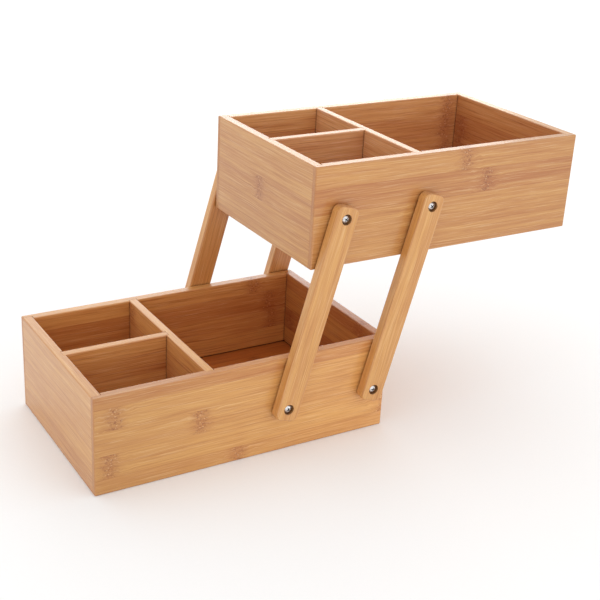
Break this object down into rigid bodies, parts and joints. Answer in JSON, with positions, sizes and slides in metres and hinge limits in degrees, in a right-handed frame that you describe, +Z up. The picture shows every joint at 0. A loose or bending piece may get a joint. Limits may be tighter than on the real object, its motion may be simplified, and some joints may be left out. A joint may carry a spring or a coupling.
{
  "type": "cantilever sewing box",
  "caption": "Open bamboo sewing box: two divided trays joined by swinging side arms, so the upper tray lifts up and over to one side of the lower tray.",
  "frame": {"origin": "on the table, at the middle of the box's outline seen from above with the box half open, as it is at rest", "axes": "+X along the length, the way the upper tray swings open; +Y to the back; +Z up"},
  "size_m": [0.4788, 0.1982, 0.2582],
  "materials": {
    "bamboo_wall": "clear satin lacquer over laminated bamboo",
    "bamboo_divider": "clear satin lacquer over laminated bamboo",
    "bamboo_floor": "clear satin lacquer over thin laminated bamboo",
    "bamboo_arm": "clear satin lacquer over laminated bamboo, grain along the arm",
    "screw_steel": "bright zinc plating",
    "washer_steel": "plain zinc plating"
  },
  "bodies": {
    "lower_tray": {"lower_front_wall": "bamboo_wall", "lower_back_wall": "bamboo_wall", "lower_left_wall": "bamboo_wall", "lower_right_wall": "bamboo_wall", "lower_floor_panel": "bamboo_floor", "lower_cross_divider": "bamboo_divider", "lower_short_divider": "bamboo_divider", "front_left_lower_screw": "screw_steel", "front_left_lower_washer": "washer_steel", "front_right_lower_screw": "screw_steel", "front_right_lower_washer": "washer_steel", "back_left_lower_screw": "screw_steel", "back_left_lower_washer": "washer_steel", "back_right_lower_screw": "screw_steel", "back_right_lower_washer": "washer_steel"},
    "upper_tray": {"upper_front_wall": "bamboo_wall", "upper_back_wall": "bamboo_wall", "upper_left_wall": "bamboo_wall", "upper_right_wall": "bamboo_wall", "upper_floor_panel": "bamboo_floor", "upper_cross_divider": "bamboo_divider", "upper_short_divider": "bamboo_divider", "front_left_upper_screw": "screw_steel", "front_left_upper_washer": "washer_steel", "front_right_upper_screw": "screw_steel", "front_right_upper_washer": "washer_steel", "back_left_upper_screw": "screw_steel", "back_left_upper_washer": "washer_steel", "back_right_upper_screw": "screw_steel", "back_right_upper_washer": "washer_steel"},
    "front_left_arm": {"front_left_arm": "bamboo_arm"},
    "front_right_arm": {"front_right_arm": "bamboo_arm"},
    "back_left_arm": {"back_left_arm": "bamboo_arm"},
    "back_right_arm": {"back_right_arm": "bamboo_arm"}
  },
  "joints": [
    {"name": "front_left_arm_hinge", "type": "hinge", "parent": "lower_tray", "child": "front_left_arm", "pos_m": [-0.06386, -0.0941, 0.045], "axis": [0, 1, 0], "range_deg": [-74.27, 59.6]},
    {"name": "front_right_arm_hinge", "type": "hinge", "parent": "lower_tray", "child": "front_right_arm", "pos_m": [0.02464, -0.0941, 0.045], "axis": [0, 1, 0], "range_deg": [-74.27, 59.6]},
    {"name": "back_left_arm_hinge", "type": "hinge", "parent": "lower_tray", "child": "back_left_arm", "pos_m": [-0.06986, 0.0941, 0.045], "axis": [0, 1, 0], "range_deg": [-74.27, 59.6]},
    {"name": "back_right_arm_hinge", "type": "hinge", "parent": "lower_tray", "child": "back_right_arm", "pos_m": [0.01864, 0.0941, 0.045], "axis": [0, 1, 0], "range_deg": [-74.27, 59.6]},
    {"name": "upper_tray_hinge", "type": "hinge", "parent": "front_left_arm", "child": "upper_tray", "pos_m": [-0.01752, -0.0941, 0.21324], "axis": [0, 1, 0], "range_deg": [-59.6, 74.27]}
  ],
  "couplings": [
    {"joint": "front_right_arm_hinge", "follows": "front_left_arm_hinge", "ratio": 1},
    {"joint": "back_left_arm_hinge", "follows": "front_left_arm_hinge", "ratio": 1},
    {"joint": "back_right_arm_hinge", "follows": "front_left_arm_hinge", "ratio": 1},
    {"joint": "upper_tray_hinge", "follows": "front_left_arm_hinge", "ratio": -1}
  ]
}
